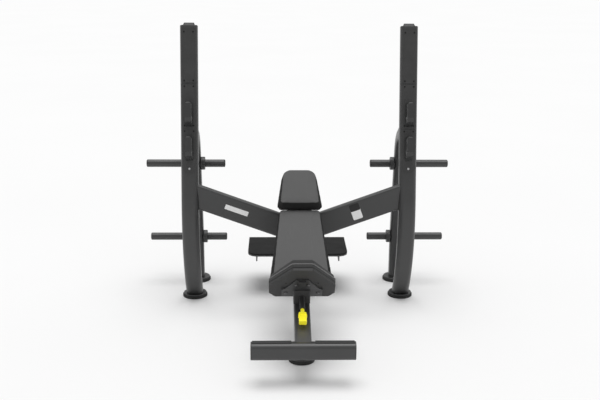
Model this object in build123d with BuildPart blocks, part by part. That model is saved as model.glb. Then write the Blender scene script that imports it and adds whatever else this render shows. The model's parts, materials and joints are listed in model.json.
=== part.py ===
from build123d import *
import os
from math import asin, cos, radians, sin, sqrt, tan

# Olympic incline bench with bar catches, plate storage and a spotter's step.
# Millimetres, +Z up.  X is across the bench, and the mid plane is X = 0.
# The user's feet point to -Y.  The origin is on the floor, under the middle of the footprint.

# ---- driving dimensions ------------------------------------------------------------------
SIDES = {"left": -1, "right": 1}

UPRIGHT_X = 574.0            # mid plane of a side frame, from the mid plane of the bench
FEET_Y = 402.5               # front feet of the side frames
UPRIGHT_WIDTH = 92.0         # oval tube of the uprights
UPRIGHT_DEPTH = 60.0
UPRIGHT_CORNER = 26.0
UPRIGHT_TOP_Z = 1483.0
CAP_SHOULDER = 6.0           # the cap's rim over the tube's end
CAP_HEIGHT = 19.5            # top of the cap's boss over the tube's end
UPRIGHT_LEAN = 10.16         # degrees, the straight upper length leans back
BEND_Y = FEET_Y - 150.0      # where the straight length meets the bow
BEND_Z = 590.0
BOW_RADIUS = 709.0
TUBE_WALL = 3.0

REAR_LEG_Y = FEET_Y + 265.0  # the rear leg drops straight to its foot here
REAR_LEG_WIDTH = 66.0
REAR_LEG_DEPTH = 62.0
REAR_LEG_CORNER = 20.0
REAR_LEG_BEND_Z = 170.0      # the straight foot length ends here
REAR_LEG_RADIUS = 1300.0
REAR_LEG_LEAN = 10.2         # degrees, the middle length leans forward
REAR_LEG_SHOULDER_Z = 790.0  # the leg turns over to the upright from here
SHOULDER_RADIUS = 150.0
SHOULDER_TURN = 53.0
SHOULDER_REACH = 190.0       # straight length from the shoulder into the upright

FOOT_TOP_Z = 22.0            # top of a steel foot plate
FOOT_PLATE_THICKNESS = 6.0
SIDE_FOOT_RADIUS = 67.5
CENTRE_FOOT_RADIUS = 62.0

ARM_Y = FEET_Y - 138.0
ARM_SLOPE = 19.9             # degrees, the arms rise to the uprights
ARM_AXIS_Z = 414.5           # height of the arm axis carried to the mid plane
ARM_HEIGHT = 125.0
ARM_DEPTH = 44.0

SPINE_WIDTH = 75.0
SPINE_HEIGHT = 90.0
SPINE_CORNER = 11.0
SPINE_SLOPE = 13.0           # degrees, the spine rises to the rear
SPINE_TOP_Y = FEET_Y - 1107.0
SPINE_TOP_Z = 200.0

FOOTREST_Y = FEET_Y - 1110.0
FOOTREST_Z = 160.0
FOOTREST_LENGTH = 465.0
FOOTREST_HEIGHT = 80.0
FOOTREST_DEPTH = 60.0
TREAD_SPAN = (53.0, 226.0)   # grip strips, from the mid plane outwards
TREAD_DEPTH = 34.0
TREAD_SETBACK = 4.0
FRONT_LEG_Y = FEET_Y - 861.0

SEAT_TILT = 45.0             # degrees, nose up
SEAT_EDGE_Y = FEET_Y - 775.0  # rear edge of the seat board's underside
SEAT_EDGE_Z = 290.0
BOARD_THICKNESS = 12.0
SEAT_FOAM = 43.0
BRACKET_THICKNESS = 5.0
SEAT_BOLTS = ((-75, 47), (75, 47), (-27, 130), (27, 130))

SLEEVE_FOOT_Y = FEET_Y - 818.7  # front face of the sleeve where it meets the spine
SLEEVE_WIDTH = 79.0
SLEEVE_DEPTH = 44.0
POST_WIDTH = 58.0
POST_DEPTH = 31.0
POST_DROP = 200.0            # length of the post below the spine's top face
POST_CLEARANCE = 0.5
SEAT_PITCH = 30.0            # distance between two seat heights
SEAT_HEIGHTS = 4

PIN_HEIGHT = 33.0            # pull pin axis above the spine's top face
PIN_RADIUS = 6.0
PIN_TRAVEL = 14.0
PIN_REACH = 5.5              # the pin's tip behind the sleeve's front face, drawn back
PIN_SOCKET = 40.0            # length of the pin inside its grip
BARREL_RADIUS = 12.5
BARREL_LENGTH = 97.0
BARREL_WALL = (74.0, 80.0)   # the wall the spring bears on
SPRING_BORE = 10.0
SPRING_TURNS = 9
NECK_RADIUS = 8.5
NECK_START = 96.5
NECK_END = 121.0
GRIP_SPAN = (129.0, 199.0)
GRIP_SIZE = (35.5, 22.0)
GRIP_RIB = 145.0

BACK_INCLINE = 32.0          # degrees
BACK_EDGE_Y = FEET_Y - 715.0  # lower end of the back pad's face
BACK_EDGE_Z = 345.0
LOWER_PAD_SPAN = (15.0, 460.0)
LOWER_PAD_HALF = (154.0, 107.0)
LOWER_PAD_CORNER = 16.0
LOWER_PAD_FOAM = 38.0
HEAD_PAD_SPAN = (463.0, 708.0)
HEAD_PAD_HALF = (118.0, 90.0)
HEAD_PAD_CORNER = 34.0       # round of its two far corners
HEAD_PAD_FOAM = 48.0
HEAD_PAD_FACE = 43.0         # height of the head pad's face over the back pad's face
RAIL_HEIGHT = 30.0
LOWER_BOLTS = ((-78, 150), (78, 150), (-78, 380), (78, 380))
HEAD_BOLTS = ((-50, 505), (50, 505), (-50, 650), (50, 650))
STRUT_STATION = 527.0        # where the rear strut meets the back rail, along the pads

PEG_RADIUS = 21.2
PEG_OUTER_X = 844.5
PEG_INNER_X = 406.0
PEG_CAP = 8.0
PEG_HEIGHTS = {"upper": 715.0, "lower": 265.0}
COLLAR_RADIUS = 36.5
COLLAR_LENGTH = 22.0

DECK_HALF_WIDTH = 279.0
DECK_FRONT_Y = FEET_Y + 18.0
DECK_REAR_Y = FEET_Y + 335.0
DECK_TOP_Z = 236.0
DECK_FRONT_CORNER = 58.0
DECK_REAR_CORNER = 4.0
RIB_THICKNESS = 6.5
RIB_DEPTH = 28.0
MAT_THICKNESS = 8.0
DECK_THICKNESS = 8.0
DECK_NOTCH = 36.0            # how far the rear strut stands into the step

GUARD_THICKNESS = 5.0
GUARD_WIDTH = 76.0
# span of each guard along the straight length of the upright, from the bend
GUARDS = {"upper": (616.0, 893.0), "middle": (383.0, 608.0), "lower": (147.0, 375.0)}
SCREW_OFFSET = 23.8
SCREW_RADIUS = 4.4
GUARD_BOLT_RADIUS = 6.0
HOOK_WIDTH = 34.0
HOOK_STATIONS = {"upper": 396.0, "lower": 219.0}

# ---- frames worked out from them ---------------------------------------------------------
lean = radians(UPRIGHT_LEAN)
UPRIGHT_ALONG = Vector(0, sin(lean), cos(lean))
UPRIGHT_FORWARD = Vector(0, -cos(lean), sin(lean))
UPRIGHT_LENGTH = (UPRIGHT_TOP_Z - BEND_Z) / cos(lean)
BOW_CENTRE_Y = BEND_Y + BOW_RADIUS * cos(lean)
BOW_CENTRE_Z = BEND_Z - BOW_RADIUS * sin(lean)

leg_lean = radians(REAR_LEG_LEAN)
LEG_STRAIGHT_Y = REAR_LEG_Y - REAR_LEG_RADIUS * (1 - cos(leg_lean))
LEG_STRAIGHT_Z = REAR_LEG_BEND_Z + REAR_LEG_RADIUS * sin(leg_lean)

slope = radians(SPINE_SLOPE)
SPINE_BACK = Vector(0, cos(slope), sin(slope))
SPINE_UP = Vector(0, -sin(slope), cos(slope))
SPINE_FRAME = Plane(origin=(0, SPINE_TOP_Y, SPINE_TOP_Z), x_dir=(1, 0, 0), z_dir=SPINE_UP)


def spine_top_z(y):
    """Height of the spine's top face at a given y."""
    return SPINE_TOP_Z + (y - SPINE_TOP_Y) * tan(slope)


# the sleeve frame: local x across, local y to the rear along the spine, local z up the post
SLEEVE_FRAME = Plane(
    origin=(0, SLEEVE_FOOT_Y, spine_top_z(SLEEVE_FOOT_Y)), x_dir=(1, 0, 0), z_dir=SPINE_UP
)
# the pin frame looks forward, out of the sleeve's front face
PIN_ORIGIN = SLEEVE_FRAME.from_local_coords(Vector(0, 0, PIN_HEIGHT))
PIN_FRAME = Plane(origin=PIN_ORIGIN, x_dir=(1, 0, 0), z_dir=-SPINE_BACK)

tilt = radians(SEAT_TILT)
SEAT_FRAME = Plane(
    origin=(0, SEAT_EDGE_Y, SEAT_EDGE_Z), x_dir=(-1, 0, 0), z_dir=(0, sin(tilt), cos(tilt))
)

incline = radians(BACK_INCLINE)
PAD_FRAME = Plane(
    origin=(0, BACK_EDGE_Y, BACK_EDGE_Z), x_dir=(1, 0, 0), z_dir=(0, -sin(incline), cos(incline))
)
PAD_UNDERSIDE = -(LOWER_PAD_FOAM + BOARD_THICKNESS)
STRUT_TOP = PAD_UNDERSIDE - RAIL_HEIGHT


# ---- profiles ----------------------------------------------------------------------------
def ring(width, depth, corner, wall):
    """Ring of a hollow tube with rounded corners, drawn in the open sketch."""
    RectangleRounded(width, depth, corner)
    RectangleRounded(width - 2 * wall, depth - 2 * wall, corner - wall, mode=Mode.SUBTRACT)


def upright_station(x, along, forward=0.0):
    """Plane square to an upright's straight length, at a distance from the bend."""
    start = Vector(x, BEND_Y, BEND_Z)
    origin = start + UPRIGHT_ALONG * along + UPRIGHT_FORWARD * forward
    return Plane(origin=origin, x_dir=(1, 0, 0), z_dir=UPRIGHT_ALONG)


def bow_point(x, angle):
    """Point on the lower bow of an upright, by its angle below the bow's centre."""
    y = BOW_CENTRE_Y - BOW_RADIUS * cos(angle)
    z = BOW_CENTRE_Z - BOW_RADIUS * sin(angle)
    return (x, y, z)


def rear_leg_y(height):
    """Where the rear leg's centre line is, at a height below its shoulder."""
    if height > LEG_STRAIGHT_Z:
        return LEG_STRAIGHT_Y - (height - LEG_STRAIGHT_Z) * tan(leg_lean)
    rise = (height - REAR_LEG_BEND_Z) / REAR_LEG_RADIUS
    return REAR_LEG_Y - REAR_LEG_RADIUS * (1 - sqrt(1 - rise**2))


def upright_line(x):
    """Centre line of an upright: straight above the bend, bowed below it."""
    below_floor = asin((BOW_CENTRE_Z + 30) / BOW_RADIUS)
    top = Vector(x, BEND_Y, BEND_Z) + UPRIGHT_ALONG * UPRIGHT_LENGTH
    with BuildLine() as line:
        Line(top, (x, BEND_Y, BEND_Z))
        ThreePointArc(
            bow_point(x, -lean), bow_point(x, (below_floor - lean) / 2), bow_point(x, below_floor)
        )
    return line.line


def rear_leg_line(x):
    """Centre line of a rear leg, from its foot to the inside of the upright."""
    side_view = Plane(origin=(x, 0, 0), x_dir=(0, 1, 0), z_dir=(1, 0, 0))
    shoulder = (rear_leg_y(REAR_LEG_SHOULDER_Z), REAR_LEG_SHOULDER_Z)
    with BuildLine(side_view) as line:
        Line((REAR_LEG_Y, FOOT_TOP_Z), (REAR_LEG_Y, REAR_LEG_BEND_Z))
        JernArc((REAR_LEG_Y, REAR_LEG_BEND_Z), (0, 1), REAR_LEG_RADIUS, REAR_LEG_LEAN)
        Line((LEG_STRAIGHT_Y, LEG_STRAIGHT_Z), shoulder)
        turn = JernArc(shoulder, (-sin(leg_lean), cos(leg_lean)), SHOULDER_RADIUS, SHOULDER_TURN)
        heading = radians(90 + REAR_LEG_LEAN + SHOULDER_TURN)
        end = side_view.to_local_coords(turn @ 1)
        Line(
            (end.X, end.Y),
            (end.X + SHOULDER_REACH * cos(heading), end.Y + SHOULDER_REACH * sin(heading)),
        )
    return line.line


def upright_envelope(x):
    """The space an upright takes, filled, for cutting what meets it."""
    centre_line = upright_line(x)
    with BuildPart() as envelope:
        with BuildSketch(upright_station(x, UPRIGHT_LENGTH)):
            RectangleRounded(UPRIGHT_WIDTH, UPRIGHT_DEPTH, UPRIGHT_CORNER)
        sweep(path=centre_line)
        split(bisect_by=Plane.XY.offset(FOOT_TOP_Z), keep=Keep.TOP)
    return envelope.part


def strut_envelope():
    """The space the rear strut takes, filled."""
    with BuildPart() as envelope:
        with BuildSketch(PAD_FRAME.offset(STRUT_TOP)):
            with Locations((0, STRUT_STATION)):
                RectangleRounded(SPINE_WIDTH, SPINE_HEIGHT, SPINE_CORNER)
        extrude(amount=-600)
        split(bisect_by=Plane.XY.offset(FOOT_TOP_Z), keep=Keep.TOP)
    return envelope.part


# ---- side frames -------------------------------------------------------------------------
def front_upright(side):
    """Bowed front tube that carries the bar catches."""
    x = SIDES[side] * UPRIGHT_X
    centre_line = upright_line(x)
    with BuildPart() as upright:
        with BuildSketch(upright_station(x, UPRIGHT_LENGTH)):
            ring(UPRIGHT_WIDTH, UPRIGHT_DEPTH, UPRIGHT_CORNER, TUBE_WALL)
        sweep(path=centre_line)
        split(bisect_by=Plane.XY.offset(FOOT_TOP_Z), keep=Keep.TOP)
    return upright.part


def rear_leg(side):
    """Rear tube of a side frame, notched round the upright and bored for both pegs."""
    x = SIDES[side] * UPRIGHT_X
    centre_line = rear_leg_line(x)
    upright_space = upright_envelope(x)
    with BuildPart() as leg:
        with BuildSketch(Plane(origin=(x, REAR_LEG_Y, FOOT_TOP_Z), x_dir=(1, 0, 0))):
            ring(REAR_LEG_WIDTH, REAR_LEG_DEPTH, REAR_LEG_CORNER, TUBE_WALL)
        sweep(path=centre_line)
        add(upright_space, mode=Mode.SUBTRACT)
        for height in PEG_HEIGHTS.values():
            with BuildSketch(peg_plane(x, height)):
                Circle(PEG_RADIUS)
            extrude(amount=REAR_LEG_WIDTH, both=True, mode=Mode.SUBTRACT)
    return leg.part


def peg_plane(x, height):
    """Plane square to X, centred on the rear leg's centre line at a height."""
    return Plane(origin=(x, rear_leg_y(height), height), x_dir=(0, 1, 0), z_dir=(1, 0, 0))


def top_cap(side):
    """Moulded cap that closes the top of an upright."""
    x = SIDES[side] * UPRIGHT_X
    with BuildPart() as cap:
        with BuildSketch(upright_station(x, UPRIGHT_LENGTH)):
            RectangleRounded(UPRIGHT_WIDTH, UPRIGHT_DEPTH, UPRIGHT_CORNER)
        extrude(amount=CAP_SHOULDER)
        shoulder = cap.faces().sort_by(Axis((x, 0, 0), UPRIGHT_ALONG))[-1]
        fillet(shoulder.edges(), CAP_SHOULDER - 1)
        with BuildSketch(upright_station(x, UPRIGHT_LENGTH + CAP_SHOULDER)):
            RectangleRounded(62, 42, 12)
        with BuildSketch(upright_station(x, UPRIGHT_LENGTH + CAP_HEIGHT)):
            with Locations((0, 7)):
                RectangleRounded(52, 24, 8)
        loft()
        with BuildSketch(upright_station(x, UPRIGHT_LENGTH)):
            inner = 2 * TUBE_WALL + 0.6
            RectangleRounded(
                UPRIGHT_WIDTH - inner, UPRIGHT_DEPTH - inner, UPRIGHT_CORNER - TUBE_WALL - 0.3
            )
        extrude(amount=-18)
    return cap.part


def bar_guard(side, level):
    """Plastic wear strip that wraps the front of an upright."""
    x = SIDES[side] * UPRIGHT_X
    low, high = GUARDS[level]
    wrap = 2 * GUARD_THICKNESS
    with BuildPart() as guard:
        with BuildSketch(upright_station(x, low)):
            RectangleRounded(
                UPRIGHT_WIDTH + wrap, UPRIGHT_DEPTH + wrap, UPRIGHT_CORNER + GUARD_THICKNESS
            )
            RectangleRounded(UPRIGHT_WIDTH, UPRIGHT_DEPTH, UPRIGHT_CORNER, mode=Mode.SUBTRACT)
            with Locations((0, -UPRIGHT_DEPTH / 2)):
                Rectangle(GUARD_WIDTH, UPRIGHT_DEPTH, mode=Mode.INTERSECT)
        extrude(amount=high - low)
        if level == "lower":
            end_radius = GUARD_WIDTH / 2 + 1.5
            with BuildSketch(upright_face(x, low)):
                Rectangle(2 * GUARD_WIDTH, 2 * end_radius)
                with Locations((0, end_radius)):
                    Circle(end_radius, mode=Mode.SUBTRACT)
            extrude(amount=UPRIGHT_DEPTH, both=True, mode=Mode.SUBTRACT)
    return guard.part


def upright_face(x, along, forward=UPRIGHT_DEPTH / 2):
    """Plane on the front face of an upright: local y up the tube, local z forward."""
    start = Vector(x, BEND_Y, BEND_Z)
    origin = start + UPRIGHT_ALONG * along + UPRIGHT_FORWARD * forward
    return Plane(origin=origin, x_dir=(1, 0, 0), z_dir=UPRIGHT_FORWARD)


def bar_hook(side, level):
    """J-shaped catch on the front of an upright, as wide as its lip."""
    x = SIDES[side] * UPRIGHT_X
    station = HOOK_STATIONS[level]
    root = GUARD_THICKNESS
    start = Vector(x, BEND_Y, BEND_Z) + UPRIGHT_ALONG * station
    start = start + UPRIGHT_FORWARD * (UPRIGHT_DEPTH / 2)
    # local x is forward of the tube's front face, local y is up the tube
    plane = Plane(origin=start, x_dir=UPRIGHT_FORWARD, z_dir=(-1, 0, 0))
    pocket = 22.0
    wall = 10.0
    lip = root + wall + 2 * pocket
    tip = 120.0
    with BuildPart() as hook:
        with BuildSketch(plane):
            with BuildLine():
                Polyline(
                    (root + wall, 52), (root + wall, 112), (root, 112), (root, -8),
                    (lip + 4, 18), (lip + 16, 40), (lip + 16, tip - 8),
                )
                ThreePointArc((lip + 16, tip - 8), (lip + 8, tip), (lip, tip - 8))
                Line((lip, tip - 8), (lip, 52))
                ThreePointArc(
                    (lip, 52), (root + wall + pocket, 52 - pocket), (root + wall, 52)
                )
            make_face()
        extrude(amount=HOOK_WIDTH / 2, both=True)
        # the lip ends in a full round when seen from the front
        arch = upright_face(x, station + tip - HOOK_WIDTH / 2, UPRIGHT_DEPTH / 2 + lip - 4)
        with BuildSketch(arch):
            with Locations((0, HOOK_WIDTH / 2)):
                Rectangle(2 * HOOK_WIDTH, HOOK_WIDTH)
            Circle(HOOK_WIDTH / 2 + 0.3, mode=Mode.SUBTRACT)
        extrude(amount=2 * pocket, mode=Mode.SUBTRACT)
    return hook.part


def guard_screws():
    """Black screws in the corners of the guards."""
    screws = []
    for side in SIDES:
        x = SIDES[side] * UPRIGHT_X
        for level, (low, high) in GUARDS.items():
            stations = [high - (16 if level == "upper" else 10.5)]
            if level != "lower":
                stations.append(low + 10.5)
            for station in stations:
                for offset in (-SCREW_OFFSET, SCREW_OFFSET):
                    screws.append(button_head(x, station, offset, SCREW_RADIUS))
    return Compound(children=screws)


def guard_bolts():
    """Bright bolt near the lower end of each lower guard."""
    station = GUARDS["lower"][0] + 22
    bolts = []
    for sign in SIDES.values():
        bolts.append(button_head(sign * UPRIGHT_X, station, 0, GUARD_BOLT_RADIUS))
    return Compound(children=bolts)


def button_head(x, station, offset, radius):
    """Low domed screw head that stands on a guard."""
    face = upright_face(x, station, UPRIGHT_DEPTH / 2 + GUARD_THICKNESS)
    with BuildPart() as head:
        with BuildSketch(face):
            with Locations((offset, 0)):
                Circle(radius)
        extrude(amount=radius * 0.5)
        top = head.faces().sort_by(Axis(face.origin, face.z_dir))[-1]
        fillet(top.edges(), radius * 0.3)
        with BuildSketch(face.offset(radius * 0.5)):
            with Locations((offset, 0)):
                RegularPolygon(radius * 0.45, 6)
        extrude(amount=-radius * 0.3, mode=Mode.SUBTRACT)
    return head.part


# ---- plate storage -----------------------------------------------------------------------
def storage_peg(side, level):
    """Tube that passes through the rear leg and stores plates on both sides."""
    sign = SIDES[side]
    plane = peg_plane(sign * UPRIGHT_X, PEG_HEIGHTS[level])
    inner = PEG_INNER_X + PEG_CAP - UPRIGHT_X
    outer = PEG_OUTER_X - PEG_CAP - UPRIGHT_X
    first, last = sorted((sign * inner, sign * outer))
    with BuildPart() as peg:
        with BuildSketch(plane.offset(first)):
            Circle(PEG_RADIUS)
            Circle(PEG_RADIUS - TUBE_WALL, mode=Mode.SUBTRACT)
        extrude(amount=last - first)
    return peg.part


def peg_collars():
    """Stop collars welded to the pegs on both faces of each rear leg."""
    collars = []
    for sign in SIDES.values():
        for height in PEG_HEIGHTS.values():
            plane = peg_plane(sign * UPRIGHT_X, height)
            for facing in (-1, 1):
                start = plane.offset(facing * REAR_LEG_WIDTH / 2)
                with BuildPart() as collar:
                    with BuildSketch(start):
                        Circle(COLLAR_RADIUS)
                        Circle(PEG_RADIUS, mode=Mode.SUBTRACT)
                    extrude(amount=facing * COLLAR_LENGTH)
                    rims = collar.edges().filter_by(GeomType.CIRCLE)
                    outer = rims.filter_by(lambda rim: rim.radius > COLLAR_RADIUS - 1)
                    chamfer(outer, 2)
                collars.append(collar.part)
    return Compound(children=collars)


def peg_end_caps():
    """Moulded caps with a domed face in every peg end."""
    caps = []
    for sign in SIDES.values():
        for height in PEG_HEIGHTS.values():
            middle = peg_plane(sign * UPRIGHT_X, height)
            for end, facing in ((PEG_INNER_X, -sign), (PEG_OUTER_X, sign)):
                seat = sign * end - facing * PEG_CAP - sign * UPRIGHT_X
                plane = middle.offset(seat)
                with BuildPart() as cap:
                    with BuildSketch(plane):
                        Circle(PEG_RADIUS)
                    extrude(amount=facing * PEG_CAP)
                    face = cap.faces().sort_by(Axis.X)[-1 if facing > 0 else 0]
                    fillet(face.edges(), PEG_CAP - 1.5)
                    with BuildSketch(plane):
                        Circle(PEG_RADIUS - TUBE_WALL - 0.2)
                    extrude(amount=-facing * 14)
                caps.append(cap.part)
    return Compound(children=caps)


# ---- middle frame ------------------------------------------------------------------------
def arm(side):
    """Flat oval tube from an upright down to the rear strut."""
    sign = SIDES[side]
    rise = radians(ARM_SLOPE)
    axis = Vector(sign * cos(rise), 0, sin(rise))
    start = Vector(0, ARM_Y, ARM_AXIS_Z)
    plane = Plane(origin=start, x_dir=(0, 1, 0), z_dir=axis)
    inner_face = Plane.YZ.offset(sign * SPINE_WIDTH / 2)
    outer_face = Plane.YZ.offset(sign * (UPRIGHT_X - UPRIGHT_WIDTH / 2 + 10))
    outward = Keep.TOP if sign > 0 else Keep.BOTTOM
    inward = Keep.BOTTOM if sign > 0 else Keep.TOP
    upright_space = upright_envelope(sign * UPRIGHT_X)
    with BuildPart() as tube:
        with BuildSketch(plane):
            ring(ARM_DEPTH, ARM_HEIGHT, 12, TUBE_WALL)
        extrude(amount=640)
        split(bisect_by=inner_face, keep=outward)
        split(bisect_by=outer_face, keep=inward)
        add(upright_space, mode=Mode.SUBTRACT)
    return tube.part


def spine():
    """Sloping main tube from the foot rest to the rear strut, slotted for the seat post."""
    slot_y = SLEEVE_FRAME.origin.Y - SPINE_TOP_Y
    slot_station = slot_y / cos(slope) + SLEEVE_DEPTH / 2
    footrest_space = footrest_envelope()
    strut_space = strut_envelope()
    with BuildPart() as tube:
        with BuildSketch(
            Plane(origin=SPINE_FRAME.origin, x_dir=(1, 0, 0), z_dir=SPINE_BACK)
        ):
            with Locations((0, SPINE_HEIGHT / 2)):
                ring(SPINE_WIDTH, SPINE_HEIGHT, SPINE_CORNER, TUBE_WALL)
        extrude(amount=985)
        with BuildSketch(SPINE_FRAME.offset(10)):
            with Locations((0, slot_station)):
                RectangleRounded(
                    POST_WIDTH + 2 * POST_CLEARANCE, POST_DEPTH + 2 * POST_CLEARANCE, 5.5
                )
        extrude(amount=-SPINE_HEIGHT - 20, mode=Mode.SUBTRACT)
        add(footrest_space, mode=Mode.SUBTRACT)
        add(strut_space, mode=Mode.SUBTRACT)
    return tube.part


def footrest_plane(x):
    """Plane square to the foot rest bar at a given x."""
    return Plane(origin=(x, FOOTREST_Y, FOOTREST_Z), x_dir=(0, 1, 0), z_dir=(1, 0, 0))


def footrest_envelope():
    """The space the foot rest bar takes, filled."""
    with BuildPart() as envelope:
        with BuildSketch(footrest_plane(0)):
            RectangleRounded(FOOTREST_DEPTH, FOOTREST_HEIGHT, 24)
        extrude(amount=FOOTREST_LENGTH / 2, both=True)
    return envelope.part


def foot_rest_bar():
    """Raised cross bar for the feet at the front of the spine."""
    with BuildPart() as bar:
        with BuildSketch(footrest_plane(0)):
            ring(FOOTREST_DEPTH, FOOTREST_HEIGHT, 24, TUBE_WALL)
        extrude(amount=FOOTREST_LENGTH / 2 - 4, both=True)
    return bar.part


def foot_rest_caps():
    """Plugs in both ends of the foot rest bar."""
    caps = []
    for sign in SIDES.values():
        plane = footrest_plane(sign * (FOOTREST_LENGTH / 2 - 4))
        with BuildPart() as cap:
            with BuildSketch(plane):
                RectangleRounded(FOOTREST_DEPTH, FOOTREST_HEIGHT, 24)
            extrude(amount=sign * 4)
            face = cap.faces().sort_by(Axis.X)[-1 if sign > 0 else 0]
            fillet(face.edges(), 2.5)
            with BuildSketch(plane):
                inner = 2 * TUBE_WALL + 0.6
                RectangleRounded(FOOTREST_DEPTH - inner, FOOTREST_HEIGHT - inner, 20.5)
            extrude(amount=-sign * 16)
        caps.append(cap.part)
    return Compound(children=caps)


def foot_rest_tread(side):
    """Grip strip on one half of the foot rest, curved to the tube."""
    sign = SIDES[side]
    length = TREAD_SPAN[1] - TREAD_SPAN[0]
    middle = sign * (TREAD_SPAN[0] + TREAD_SPAN[1]) / 2
    with BuildPart() as tread:
        with BuildSketch(footrest_plane(middle)):
            RectangleRounded(FOOTREST_DEPTH + 7, FOOTREST_HEIGHT + 7, 27.5)
            RectangleRounded(FOOTREST_DEPTH, FOOTREST_HEIGHT, 24, mode=Mode.SUBTRACT)
            with Locations((TREAD_SETBACK, FOOTREST_HEIGHT / 2)):
                Rectangle(TREAD_DEPTH, 40, mode=Mode.INTERSECT)
        extrude(amount=length / 2, both=True)
    return tread.part


def front_leg():
    """Short round leg under the front of the spine."""
    under = SPINE_FRAME.offset(-SPINE_HEIGHT)
    with BuildPart() as leg:
        with BuildSketch(Plane.XY.offset(FOOT_TOP_Z)):
            with Locations((0, FRONT_LEG_Y)):
                Circle(30)
                Circle(30 - TUBE_WALL, mode=Mode.SUBTRACT)
        extrude(amount=200)
        split(bisect_by=under, keep=Keep.BOTTOM)
    return leg.part


def rear_strut():
    """Raked tube that ties the arms, the spine, the back rail and the rear centre foot."""
    with BuildPart() as strut:
        with BuildSketch(PAD_FRAME.offset(STRUT_TOP)):
            with Locations((0, STRUT_STATION)):
                ring(SPINE_WIDTH, SPINE_HEIGHT, SPINE_CORNER, TUBE_WALL)
        extrude(amount=-600)
        split(bisect_by=Plane.XY.offset(FOOT_TOP_Z), keep=Keep.TOP)
    return strut.part


# ---- feet --------------------------------------------------------------------------------
STRUT_RUN = STRUT_STATION * cos(incline) + STRUT_TOP * -sin(incline)
STRUT_RISE = STRUT_STATION * sin(incline) + STRUT_TOP * cos(incline)
STRUT_FOOT_Y = (
    BACK_EDGE_Y + STRUT_RUN + (BACK_EDGE_Z + STRUT_RISE - FOOT_TOP_Z) * tan(incline)
)
FEET = {
    "front_left": (-UPRIGHT_X, FEET_Y, SIDE_FOOT_RADIUS),
    "front_right": (UPRIGHT_X, FEET_Y, SIDE_FOOT_RADIUS),
    "rear_left": (-UPRIGHT_X, REAR_LEG_Y, SIDE_FOOT_RADIUS),
    "rear_right": (UPRIGHT_X, REAR_LEG_Y, SIDE_FOOT_RADIUS),
    "front_centre": (0, FRONT_LEG_Y, CENTRE_FOOT_RADIUS),
    "rear_centre": (0, STRUT_FOOT_Y, CENTRE_FOOT_RADIUS),
}


def rubber_foot(place):
    """Round rubber foot with a chamfered shoulder."""
    x, y, radius = FEET[place]
    height = FOOT_TOP_Z - FOOT_PLATE_THICKNESS
    with BuildPart() as foot:
        with BuildSketch(Plane.XY):
            with Locations((x, y)):
                Circle(radius)
        extrude(amount=height)
        chamfer(foot.edges().group_by(Axis.Z)[-1], 3.5)
        chamfer(foot.edges().group_by(Axis.Z)[0], 2)
    return foot.part


def foot_plates():
    """Steel discs welded under every leg."""
    plates = []
    for x, y, radius in FEET.values():
        with BuildPart() as plate:
            with BuildSketch(Plane.XY.offset(FOOT_TOP_Z - FOOT_PLATE_THICKNESS)):
                with Locations((x, y)):
                    Circle(radius - 5)
            extrude(amount=FOOT_PLATE_THICKNESS)
            chamfer(plate.edges().group_by(Axis.Z)[-1], 1)
        plates.append(plate.part)
    return Compound(children=plates)


# ---- seat --------------------------------------------------------------------------------
def seat_outline(inset):
    """Outline of the seat: wide at the thighs, cut straight to a narrow nose."""
    points = (
        (-128, -8), (128, -8), (156, 34), (156, 120), (48, 276), (-48, 276),
        (-156, 120), (-156, 34),
    )
    with BuildSketch() as outline:
        with BuildLine():
            Polyline(*points, close=True)
        make_face()
        fillet(outline.vertices(), 14)
        if inset > 0:
            offset(amount=-inset, mode=Mode.REPLACE)
    return outline.sketch


def seat_board():
    """Plywood board that the seat cushion is stapled to."""
    outline = seat_outline(2.0)
    with BuildPart() as board:
        with BuildSketch(SEAT_FRAME):
            add(outline)
        extrude(amount=BOARD_THICKNESS)
        with BuildSketch(SEAT_FRAME):
            with Locations((-74, 139), (74, 139)):
                Circle(4)
        extrude(amount=BOARD_THICKNESS / 2, mode=Mode.SUBTRACT)
    return board.part


def seat_cushion():
    """Plain foam body of the seat."""
    outline = seat_outline(0.0)
    with BuildPart() as cushion:
        with BuildSketch(SEAT_FRAME.offset(BOARD_THICKNESS)):
            add(outline)
        extrude(amount=SEAT_FOAM)
        chamfer(cushion.faces().sort_by(Axis(SEAT_FRAME.origin, SEAT_FRAME.z_dir))[-1].edges(), 10)
    return cushion.part


def seat_bracket():
    """Folded plate under the seat with a pressed rib ahead of the post."""
    with BuildPart() as bracket:
        with BuildSketch(SEAT_FRAME.offset(-BRACKET_THICKNESS)):
            with BuildLine():
                points = (
                    (-95, 6), (95, 6), (95, 90), (78, 90), (27, 184), (-27, 184),
                    (-78, 90), (-95, 90),
                )
                Polyline(*points, close=True)
            make_face()
        extrude(amount=BRACKET_THICKNESS)
        with BuildSketch(SEAT_FRAME.offset(-BRACKET_THICKNESS)):
            with Locations((-92.5, 60), (92.5, 60)):
                Rectangle(5, 56)
        extrude(amount=-5)
        with BuildSketch(SEAT_FRAME.offset(-BRACKET_THICKNESS)):
            with Locations((0, 152)):
                RectangleRounded(34, 52, 4)
        extrude(amount=-9)
    return bracket.part


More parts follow.
